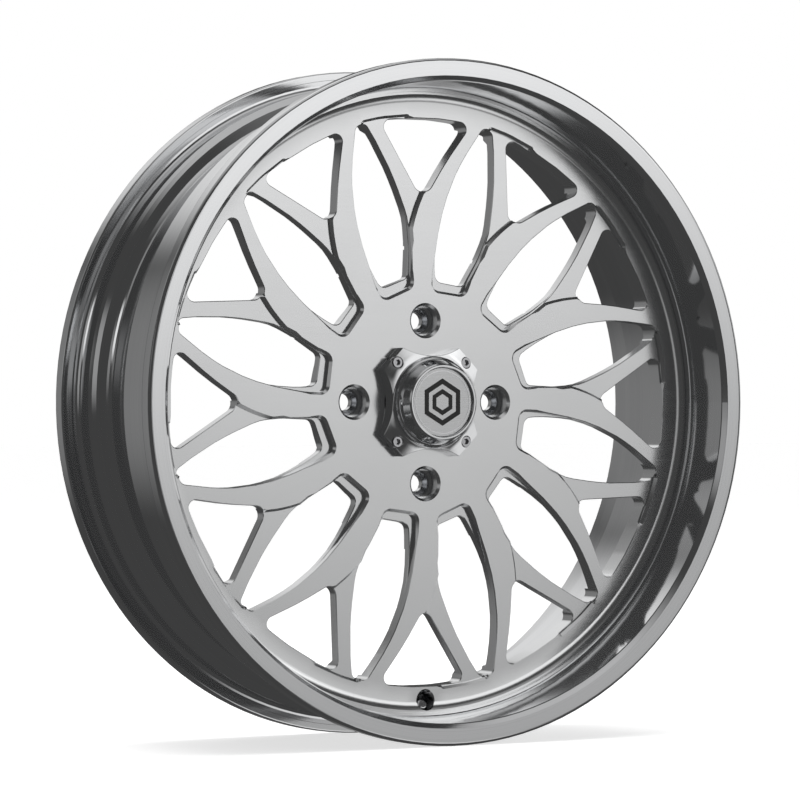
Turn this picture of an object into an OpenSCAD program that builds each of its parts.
// Forged 24 x 7 wheel rim, 4 x 156 bolt pattern, with centre cap and tyre valve.
// The wheel stands upright: its axis is Y, the outer face looks towards -Y and +Z is up.
// Every part is drawn about a local z axis that points out of the outer face, and
// placed() turns that axis to -Y. The origin is the middle of the rim.

/* [Rim] */
// Diameter over the flanges
rim_od = 649.4; // [640:0.2:660]
// Width over the flanges
rim_w = 201.1; // [196:0.1:206]
// Diameter of the bead seats beside the flanges
bead_d = 614.4; // [613:0.1:615]
// Inner diameter of both flange faces
lip_in_d = 616.4; // [615:0.1:618]
// Outer diameter of the drop centre
well_d = 583; // [578:1:586]
// Wall thickness of the drop centre
well_wall = 6.5; // [5:0.1:8]

/* [Wheel centre] */
// Height of the front face above the middle of the rim
face_z = 39.5; // [38:0.1:41]
// Height of the hub mounting pad (the wheel's offset)
pad_z = 13; // [11:0.5:15]
// Outer diameter of the pressed-in centre
disc_d = 601; // [600:0.5:602]
// Depth of the branch spokes below the front face
branch_drop = 4.5; // [3:0.5:9]
// Number of spokes
spoke_n = 12; // [12:1:12]

/* [Hub] */
// Diameter of the bolt circle
bolt_circle = 156; // [154:0.5:158]
// Number of wheel bolts
lug_n = 4; // [4:1:4]
// Diameter of the socket pockets
lug_pocket_d = 29; // [28:0.5:30]
// Diameter of the stud holes
stud_hole_d = 16; // [14:0.5:16]
// Diameter of the hub register
register_d = 131; // [130:0.5:132]

/* [Centre cap] */
// Screw spacing across the cap
cap_screw_pitch = 75.5; // [74:0.5:77]
// Height of the ears at their outer ends
ear_h = 11; // [9:0.5:13]
// Height of the cap's front rim above the face
cap_h = 35; // [33:0.5:37]
// Diameter of the recessed emblem disc
emblem_d = 65.5; // [63:0.5:66]

/* [Valve] */
// Tilt of the valve away from the wheel axis
valve_tilt = 28; // [26:1:30]
// Radius at which the valve axis meets the front face
valve_r = 285.8; // [284:0.2:287]
// Diameter of the valve pocket
valve_pocket_d = 19; // [18:0.5:20]

/* [Hidden] */
$fn = 96;

polished = "#d9dadc";
steel = "#b4b6ba";
brass = "#c9a85a";
rubber = "#242426";

sector = 360 / spoke_n;
rim_r = rim_od / 2;
half_w = rim_w / 2;
bead_r = bead_d / 2;
lip_in_r = lip_in_d / 2;
well_r = well_d / 2;
well_in_r = well_r - well_wall;
disc_r = disc_d / 2;
// Legs of the weld bead between centre and barrel
bead_leg = 4;

// Flanges and bead seats
flange_w = 16;
flange_root_r = 317.5;
flange_root_step = 0.7;
flange_edge_r = 3.5;
flange_back_r = 2;
bead_fillet = 6;
seat_end = 20;
seat_drop = 1.4;
hump_rise = 1.6;
// Corners of the safety hump, past the end of the seat, and of the slope behind it
hump_start = 2;
hump_top = 3;
hump_end = 4;
hump_foot = 7;
hump_lead = 0.4;
bead_land_drop = 0.7;
well_round = 12;
shell_wall = 4;
lip_bevel = 4;
dish_top_r = 303.4;
dish_foot_r = 300.9;
dish_foot_z = 47.4;
dish_foot_round = 2.4;
lip_break = 0.4;
flange_back_z = half_w - flange_w;
seat_end_z = flange_back_z - seat_end;
fillet_z = flange_back_z - flange_root_step - bead_fillet;
// Where the centre's land ends against the barrel's shoulder
shoulder_z = 14;
// Where the ring behind the windows ends, and the inner edge of its land
ring_back_z = 17.2;
ring_land_r = 266;
// Rear of the branches, and of the raised main spokes where they are thinnest
branch_back_z = 23.5;
spoke_back_z = 26.5;
arch_foot_r = 128;
// Rolled edge of the drop centre's front wall, square to the valve
well_wall_top_z = 11.5;
well_front_z = 0;
well_back_z = -42;
well_wall_foot = 4;
well_edge = 1;
well_edge_drop = 3;
well_back_slope = 17;

// Outer ring of the centre: cove, groove and ridge outside the flat face
face_end_r = 286.7;
cove_end_r = 294.5;
cove_end_z = 42.6;
groove_r = 296;
ridge_z = 45.4;
groove_z = 41.6;
groove_w = 1;
ridge_break = 1.2;
ring_edge = 4;

// Depth of the ledges at the hub ends of the petals
ledge_drop = 6.5;

// Hub
hub_pad_r = 111;
hub_slope = 7;
register_depth = 5;
nut_bore_d = 100;
cap_web = 12;
cap_bore_d = 85;
lug_pocket_depth = 15.5;
lug_seat_d = 26;
lug_seat_h = 5;
lug_cone_d = 22;
lug_cone_end_d = 16.4;

// Cap
cap_z = face_z;
screw_r = cap_screw_pitch / sqrt(2);
ear_tip_r = 60.5;
ear_reach = 90;
skirt_h = ear_h + 4;
scallop_r = 67;
neck_r = 43.5;
neck_h = 22;
drum_r = 40.5;
drum_h = 24;
drum_top_r = 36.8;
rim_face_r = 35.4;
cap_shell = 4.5;
emblem_sink = 2.8;
emblem_t = 1.6;
pad_t = 0.8;
spigot_r = 42.2;
spigot_h = 6;
o_ring_d = 2.2;
o_groove_start = 1.8;
o_groove_end = 4.7;
cap_front_t = 4;
cap_hollow_r = 32;
screw_d = 6;
screw_head_d = 10;
screw_head_h = 6;
screw_seat_h = 7;
screw_len = 16;
hex_key = 5;
key_depth = 3;

// Valve, measured along its own axis from the front face inwards
valve_floor = 21.5;
valve_seat = 33.8;
valve_hole_d = 11.5;
valve_end = 6.5;
stem_d = 8;
stem_tip_d = 6.6;
stem_base_d = 15;
grommet_d = 16;
bore_d = 4.6;
core_d = 4.2;
cap_d = 10.3;
cap_len = 8.4;
cap_bore_r = 3.4;
cap_end_t = 2;
cap_round = 1.6;
seal_t = 1;
pin_r = 0.7;
plunger_r = 1.7;
plunger_z = 20.3;
plunger_t = 1.7;
spring_wire = 0.4;
spring_turns = 5;
grommet_t = 2;
flange_t = 3;
stem_tip_z = 9.8;
stem_neck_z = 15;
core_seat_z = 29;
stem_foot_z = valve_seat + grommet_t;
nut_z = 15.4;
nut_h = 3.6;
nut_flats = 13;
air_hole_d = 3.2;
core_in_r = 1.1;
core_start_z = 11.2;
core_end_z = 20;
gasket_start_z = 16;
gasket_end_z = 18;
pin_tip_z = 10.3;
pin_tail = 3;
washer_t = 1;
washer_z = nut_z + nut_h;
outer_grommet_z = washer_z + washer_t;

// ---- helpers ----

// Points of an arc about [cx, cy]
function arc(cx, cy, r, a0, a1, n = 8) =
    [for (i = [0:n]) [cx + r * cos(a0 + (a1 - a0) * i / n), cy + r * sin(a0 + (a1 - a0) * i / n)]];

function unit(v) = v / norm(v);

// Fillet of radius r at the corner p between a and b, as points 12 degrees apart
function corner(a, p, b, r) =
    let (u = unit(a - p), v = unit(b - p), half = acos(u * v) / 2,
        reach = min(r / tan(half), 0.499 * norm(a - p), 0.499 * norm(b - p)),
        rad = reach * tan(half), c = p + unit(u + v) * rad / sin(half),
        s = p + u * reach - c, e = p + v * reach - c,
        a0 = atan2(s[1], s[0]), turn0 = atan2(e[1], e[0]) - a0,
        turn = turn0 > 180 ? turn0 - 360 : turn0 < -180 ? turn0 + 360 : turn0,
        n = max(1, ceil(abs(turn) / 12)))
    [for (i = [0:n]) c + rad * [cos(a0 + turn * i / n), sin(a0 + turn * i / n)]];

// Closed outline from corners [x, y, radius]
function rounded(p) =
    [for (i = [0:len(p) - 1])
        let (a = p[(i + len(p) - 1) % len(p)], b = p[(i + 1) % len(p)])
        each corner([a[0], a[1]], [p[i][0], p[i][1]], [b[0], b[1]], p[i][2])];

module placed() {
    rotate([90, 0, 0]) children();
}

module turned(profile, n = 240) {
    rotate_extrude($fn = n) polygon(profile);
}

module around(n) {
    for (i = [0:n - 1]) rotate(360 / n * i) children();
}

// Moves to the valve's own frame: z runs from the front face into the tyre space
module at_valve() {
    translate([0, -valve_r, face_z]) rotate([180 - valve_tilt, 0, 0]) children();
}

module ring(r_out, r_in, z0, z1, n = 96) {
    translate([0, 0, z0]) difference() {
        cylinder(r = r_out, h = z1 - z0, $fn = n);
        translate([0, 0, -1]) cylinder(r = r_in, h = z1 - z0 + 2, $fn = n);
    }
}

// ---- rim barrel ----

// Half of the outer outline of a flange and bead seat, from the flange face inwards;
// side is 1 for the front and -1 for the rear
function flange_side(side) = [
    each [for (p = arc(rim_r - flange_edge_r, half_w - flange_edge_r, flange_edge_r, 90, 0, 6))
        [p[0], side * p[1]]],
    each [for (p = arc(rim_r - flange_back_r, flange_back_z + flange_back_r, flange_back_r, 0, -90, 4))
        [p[0], side * p[1]]],
    [flange_root_r, side * flange_back_z],
    [flange_root_r - 0.3, side * (flange_back_z - flange_root_step)],
    each [for (p = arc(bead_r + bead_fillet, fillet_z, bead_fillet, 90, 180, 5))
        [p[0], side * p[1]]],
    [bead_r - seat_drop, side * seat_end_z],
    [bead_r + hump_rise - hump_lead, side * (seat_end_z - hump_start)],
    [bead_r + hump_rise, side * (seat_end_z - hump_top)],
    [bead_r + hump_rise, side * (seat_end_z - hump_end)],
    [bead_r - bead_land_drop, side * (seat_end_z - hump_foot)]];

function reversed(p) = [for (i = [len(p) - 1:-1:0]) p[i]];

barrel_outline = [
    each flange_side(1),
    [bead_r - bead_land_drop, well_wall_top_z],
    [well_r + well_wall_foot,
        well_wall_top_z - (bead_r - bead_land_drop - well_wall_foot - well_r) * tan(valve_tilt)],
    [well_r + well_edge, well_front_z + well_edge],
    [well_r, well_front_z - well_edge_drop],
    [well_r, well_back_z],
    each arc(well_r + well_round, well_back_z, well_round, 180, 225, 4),
    [bead_r - shell_wall, well_back_z - well_round - 0.5],
    each reversed(flange_side(-1)),
    // inner side, from the rear flange to the front
    [lip_in_r, -half_w],
    [lip_in_r - lip_bevel, -half_w + lip_bevel],
    [bead_r - shell_wall, -flange_back_z],
    [bead_r - shell_wall - seat_drop, well_back_z - well_back_slope],
    [well_in_r, well_back_z + 3],
    [well_in_r, shoulder_z],
    [disc_r, shoulder_z],
    [disc_r, dish_foot_z - dish_foot_round],
    [dish_foot_r, dish_foot_z],
    [dish_top_r, half_w - lip_bevel - 0.6],
    [dish_top_r + 0.9, half_w - lip_bevel - 0.2],
    [lip_in_r - lip_break, half_w - lip_break],
    [lip_in_r, half_w]];

module valve_pocket() {
    at_valve() {
        translate([0, 0, -20]) cylinder(d = valve_pocket_d, h = 20 + valve_floor, $fn = 64);
        cylinder(d = valve_hole_d, h = valve_seat + 8, $fn = 64);
    }
}

module rim_barrel() {
    color(polished) placed() difference() {
        turned(barrel_outline);
        valve_pocket();
        at_valve() translate([0, 0, valve_seat]) cylinder(d = grommet_d + 2, h = 12, $fn = 64);
    }
}

// ---- wheel centre ----

// Triangular window between a spoke and its branch
triangle_window = [[-1.2, 193.9, 9.3], [-48, 268.4, 7.8], [-25, 271, 200], [0, 272.2, 400],
    [25, 271, 200], [51.4, 267.5, 7.1], [22.4, 230.2, 200]];

// Petal window between a spoke and the next branch, at the front face
petal_window = [[9.1, 107.5, 7.5], [9.6, 130, 80], [16.1, 172, 120], [28.1, 208, 120], [42.5, 233.8, 120],
    [64.9, 264.6, 7], [77.3, 260.7, 6], [79.9, 227.3, 200], [77.8, 194.8, 150], [73.4, 162, 60],
    [62.4, 137.6, 60], [49.2, 116.2, 30], [42.8, 103.2, 7.5]];

// Ground around a branch that lies below the front face
branch_recess = [[-26, 160, 1], [-17.8, 157.5, 3], [-14.8, 172, 60], [-9.4, 188, 60], [-2.5, 203, 30],
    [12, 232, 1], [-20, 272.6, 1], [-48, 269.6, 60], [-68, 265, 1], [-60, 252, 1], [-37, 214, 60],
    [-24, 183, 60]];

// The same petal below the ledge at its hub end
petal_through = [[15.3, 115.7, 8], [14, 134, 100], [16.1, 172, 120], [28.1, 208, 120], [42.5, 233.8, 120],
    [64.9, 264.6, 7], [77.3, 260.7, 6], [79.9, 227.3, 200], [77.8, 194.8, 150], [73.4, 162, 60],
    [61.9, 138, 60], [49.3, 118.2, 20], [44.8, 111, 8]];

// Plan of the hollow behind a main spoke
spoke_hollow = [[-16, 146, 1], [-13, 172, 40], [-6, 190, 40], [4, 207, 40], [16, 232, 1], [36, 268, 1],
    [66, 268, 1], [60, 240, 40], [38, 208, 40], [24, 172, 40], [18, 140, 1]];

// Rear of the main spokes: an arch from the hub to the ring
function arch(r0, r1, z0, rise, n = 14) =
    [for (i = [0:n]) let (t = i / n) [r0 + (r1 - r0) * t, z0 + rise * sqrt(sin(180 * t))]];

module spoke_reliefs() {
    around(spoke_n) intersection() {
        outline_cut(spoke_hollow, 0, 40);
        turned(concat([[arch_foot_r, 0]],
            arch(arch_foot_r, ring_land_r + 1, branch_back_z, spoke_back_z - branch_back_z),
            [[ring_land_r + 1, 0]]));
    }
}

module outline_cut(p, z0, z1) {
    translate([0, 0, z0]) linear_extrude(z1 - z0) polygon(rounded(p));
}

centre_profile = [
    [cap_bore_d / 2, face_z - cap_web],
    [cap_bore_d / 2, face_z],
    [face_end_r, face_z],
    each [for (i = [1:6]) let (t = i / 6)
        [face_end_r + (cove_end_r - face_end_r) * t, face_z + (cove_end_z - face_z) * t * t]],
    [groove_r, cove_end_z],
    [groove_r, groove_z],
    [groove_r + groove_w, groove_z],
    [groove_r + groove_w, ridge_z],
    [disc_r - ridge_break, ridge_z],
    [disc_r, ridge_z - ridge_break / 2],
    [disc_r, shoulder_z],
    [well_in_r + 0.4, shoulder_z],
    [well_in_r - ring_edge, ring_back_z],
    [ring_land_r, ring_back_z],
    [ring_land_r - ring_edge, branch_back_z],
    [hub_pad_r + hub_slope, branch_back_z],
    [hub_pad_r, pad_z],
    [register_d / 2, pad_z],
    [register_d / 2, pad_z + register_depth],
    [nut_bore_d / 2, pad_z + register_depth],
    [nut_bore_d / 2, face_z - cap_web]];

module lug_hole() {
    translate([0, 0, face_z - lug_pocket_depth]) cylinder(d = lug_pocket_d, h = 30, $fn = 64);
    translate([0, 0, face_z - lug_pocket_depth - lug_seat_h]) cylinder(d = lug_seat_d, h = 10, $fn = 64);
    cylinder(d = stud_hole_d, h = 60, $fn = 64);
}

module wheel_centre() {
    color(polished) placed() difference() {
        turned(centre_profile);
        around(spoke_n) {
            outline_cut(triangle_window, -20, 60);
            outline_cut(petal_through, -20, 60);
            outline_cut(petal_window, face_z - ledge_drop, 60);
            outline_cut(branch_recess, face_z - branch_drop, 60);
        }
        spoke_reliefs();
        around(lug_n) translate([bolt_circle / 2, 0, 0]) lug_hole();
        around(lug_n) rotate(45) translate([screw_r, 0, 0]) cylinder(d = screw_d, h = 60, $fn = 48);
        valve_pocket();
    }
}

module weld_bead() {
    color(steel) placed() turned([
        [well_in_r - bead_leg + 0.6, ring_back_z - 0.9],
        [well_in_r, shoulder_z - 0.1],
        [well_in_r, shoulder_z - bead_leg],
        [well_in_r - 2.4, ring_back_z - bead_leg - 0.6]]);
}

module lug_seat(angle) {
    color(steel) placed() rotate(angle) translate([bolt_circle / 2, 0, face_z - lug_pocket_depth - lug_seat_h])
        difference() {
            cylinder(d = lug_seat_d, h = lug_seat_h, $fn = 64);
            translate([0, 0, -1]) cylinder(d = stud_hole_d, h = 12, $fn = 64);
            translate([0, 0, 0.01]) cylinder(d1 = lug_cone_end_d, d2 = lug_cone_d, h = lug_seat_h, $fn = 64);
        }
}

module lug_seat_top() { lug_seat(90); }
module lug_seat_right() { lug_seat(0); }
module lug_seat_bottom() { lug_seat(270); }
module lug_seat_left() { lug_seat(180); }

// ---- centre cap ----

// Plan of the cap's four ears, with a hollow beside each wheel bolt
module ear_plan() {
    difference() {
        rotate(45) square(2 * (ear_tip_r - 2), center = true);
        around(4) translate([neck_r + 0.7 + scallop_r, 0]) circle(r = scallop_r, $fn = 160);
    }
}

module cap_ears() {
    intersection() {
        linear_extrude(skirt_h) ear_plan();
        turned([[0, 0], [ear_reach, 0], [ear_reach, ear_h - 6], [ear_tip_r, ear_h],
            [neck_r + 1.5, skirt_h], [0, skirt_h]], 120);
    }
}

cap_core = [
    [spigot_r, -spigot_h],
    [spigot_r, -o_groove_end],
    [cap_bore_d / 2 - o_ring_d, -o_groove_end],
    [cap_bore_d / 2 - o_ring_d, -o_groove_start],
    [spigot_r, -o_groove_start],
    [spigot_r, 0],
    [neck_r, 0],
    [neck_r, neck_h - 3],
    [neck_r - 0.8, neck_h - 1.4],
    [drum_r + 0.4, neck_h],
    [drum_r, drum_h],
    [drum_top_r, cap_h - 1.4],
    [rim_face_r, cap_h],
    [emblem_d / 2 + 0.6, cap_h],
    [emblem_d / 2, cap_h - 0.6],
    [emblem_d / 2, cap_h - emblem_sink - emblem_t - pad_t],
    [0, cap_h - emblem_sink - emblem_t - pad_t],
    [0, cap_h - emblem_sink - emblem_t - pad_t - cap_front_t],
    [cap_hollow_r, cap_h - emblem_sink - emblem_t - pad_t - cap_front_t],
    [neck_r - cap_shell - 1, drum_h - 6],
    [neck_r - cap_shell - 1, -spigot_h]];

module cap_body() {
    color(polished) placed() translate([0, 0, cap_z]) difference() {
        union() {
            turned(cap_core, 160);
            difference() {
                cap_ears();
                translate([0, 0, -1]) cylinder(r = neck_r - 1, h = 40, $fn = 96);
            }
        }
        around(4) rotate(45) translate([screw_r, 0, 0]) {
            translate([0, 0, -1]) cylinder(d = screw_d + 0.6, h = 30, $fn = 48);
            translate([0, 0, screw_seat_h]) cylinder(d = screw_head_d + 1, h = 30, $fn = 48);
        }
    }
}

module cap_emblem() {
    color(polished) placed() translate([0, 0, cap_z + cap_h - emblem_sink - emblem_t]) turned([
        [0, 0],
        [emblem_d / 2 - 0.1, 0],
        [emblem_d / 2 - 0.1, emblem_t - 0.4],
        [emblem_d / 2 - 0.5, emblem_t],
        [0, emblem_t]], 128);
}

module emblem_pad() {
    color(rubber) placed() translate([0, 0, cap_z + cap_h - emblem_sink - emblem_t - pad_t])
        cylinder(d = emblem_d - 2, h = pad_t, $fn = 96);
}

module cap_o_ring() {
    color(rubber) placed() translate([0, 0, cap_z - (o_groove_start + o_groove_end) / 2])
        rotate_extrude($fn = 128) translate([cap_bore_d / 2 - o_ring_d / 2, 0]) circle(d = o_ring_d, $fn = 24);
}

module cap_screw() {
    difference() {
        union() {
            translate([0, 0, screw_seat_h]) cylinder(d = screw_head_d, h = screw_head_h, $fn = 48);
            translate([0, 0, screw_seat_h - screw_len]) cylinder(d = screw_d, h = screw_len + 1, $fn = 48);
        }
        translate([0, 0, screw_seat_h + screw_head_h - key_depth])
            cylinder(d = hex_key / cos(30), h = screw_len, $fn = 6);
    }
}

module cap_screws() {
    color(steel) placed() translate([0, 0, cap_z])
        around(4) rotate(45) translate([screw_r, 0, 0]) cap_screw();
}

// ---- tyre valve, in its own frame ----

module in_valve(shade) {
    color(shade) placed() at_valve() children();
}

module valve_stem() {
    in_valve(steel) difference() {
        turned([
            [0, stem_tip_z],
            [stem_tip_d / 2 - 0.4, stem_tip_z],
            [stem_tip_d / 2, stem_tip_z + 0.4],
            [stem_tip_d / 2, stem_neck_z],
            [stem_d / 2, stem_neck_z + 0.7],
            [stem_d / 2, stem_foot_z],
            [stem_base_d / 2, stem_foot_z],
            [stem_base_d / 2, stem_foot_z + 2],
            [stem_base_d / 2 - 1, stem_foot_z + flange_t],
            [0, stem_foot_z + flange_t]], 64);
        cylinder(d = bore_d, h = core_seat_z, $fn = 48);
        cylinder(d = air_hole_d, h = 60, $fn = 48);
    }
}

module valve_inner_grommet() {
    in_valve(rubber) difference() {
        union() {
            translate([0, 0, valve_seat]) cylinder(d = grommet_d, h = grommet_t, $fn = 64);
            translate([0, 0, valve_seat - 5]) cylinder(d = valve_hole_d - 0.2, h = 6, $fn = 64);
        }
        cylinder(d = stem_d, h = 60, $fn = 64);
    }
}

module valve_outer_grommet() {
    in_valve(rubber) difference() {
        union() {
            translate([0, 0, outer_grommet_z])
                cylinder(d = grommet_d, h = valve_floor - outer_grommet_z, $fn = 64);
            translate([0, 0, valve_floor - 1]) cylinder(d = valve_hole_d - 0.2, h = 5, $fn = 64);
        }
        cylinder(d = stem_d, h = 60, $fn = 64);
    }
}

module valve_washer() {
    in_valve(steel) ring(grommet_d / 2 - 0.4, stem_d / 2 + 0.1, washer_z, washer_z + washer_t, 64);
}

module valve_nut() {
    in_valve(steel) difference() {
        intersection() {
            translate([0, 0, nut_z]) cylinder(d = nut_flats / cos(30), h = nut_h, $fn = 6);
            turned([[0, nut_z], [nut_flats / 2 + 0.1, nut_z], [nut_flats / 2 + 1.1, nut_z + 0.7],
                [nut_flats / 2 + 1.1, nut_z + nut_h], [0, nut_z + nut_h]], 64);
        }
        cylinder(d = stem_d, h = 60, $fn = 48);
    }
}

module valve_core_body() {
    in_valve(brass) ring(core_d / 2, core_in_r, core_start_z, core_end_z, 48);
}

module valve_core_gasket() {
    in_valve(rubber) ring(bore_d / 2, core_d / 2, gasket_start_z, gasket_end_z, 48);
}

module valve_core_pin() {
    back_z = plunger_z + plunger_t;
    in_valve(brass) turned([
        [0, pin_tip_z],
        [pin_r - 0.2, pin_tip_z],
        [pin_r, pin_tip_z + 0.2],
        [pin_r, plunger_z],
        [plunger_r, plunger_z + 0.4],
        [plunger_r, back_z],
        [pin_r, back_z],
        [pin_r, back_z + pin_tail],
        [0, back_z + pin_tail]], 32);
}

// Ring of points round the coil's wire at turn angle a
function wire_ring(a, rad, rise, z0, wire, n) =
    let (c = [rad * cos(a), rad * sin(a), z0 + rise * a / 360])
    [for (i = [0:n - 1]) let (b = 360 * i / n)
        c + wire / 2 * [cos(b) * cos(a), cos(b) * sin(a), sin(b)]];

module valve_core_spring() {
    steps = 14;
    sides = 8;
    rings = spring_turns * steps;
    z0 = plunger_z + plunger_t + spring_wire / 2 + 0.05;
    rise = (core_seat_z - spring_wire / 2 - 0.05 - z0) / spring_turns;
    points = [for (k = [0:rings]) each wire_ring(360 * k / steps, plunger_r, rise, z0, spring_wire, sides)];
    walls = [for (k = [0:rings - 1], i = [0:sides - 1])
        let (a = k * sides + i, b = k * sides + (i + 1) % sides) [a, a + sides, b + sides, b]];
    start = [[for (i = [0:sides - 1]) i]];
    end = [[for (i = [sides - 1:-1:0]) rings * sides + i]];
    in_valve(steel) polyhedron(points, concat(walls, start, end));
}

module valve_cap() {
    in_valve(steel) turned([
        [0, valve_end],
        each arc(cap_d / 2 - cap_round, valve_end + cap_round, cap_round, -90, 0, 5),
        [cap_d / 2, valve_end + cap_len - 0.4],
        [cap_d / 2 - 0.4, valve_end + cap_len],
        [cap_bore_r, valve_end + cap_len],
        [cap_bore_r, valve_end + cap_end_t],
        [0, valve_end + cap_end_t]], 64);
}

module valve_cap_seal() {
    in_valve(rubber) translate([0, 0, valve_end + cap_end_t])
        cylinder(r = cap_bore_r - 0.1, h = seal_t, $fn = 48);
}

rim_barrel();
wheel_centre();
weld_bead();
lug_seat_top();
lug_seat_right();
lug_seat_bottom();
lug_seat_left();
cap_body();
cap_emblem();
emblem_pad();
cap_o_ring();
cap_screws();
valve_stem();
valve_inner_grommet();
valve_outer_grommet();
valve_washer();
valve_nut();
valve_core_body();
valve_core_gasket();
valve_core_pin();
valve_core_spring();
valve_cap();
valve_cap_seal();
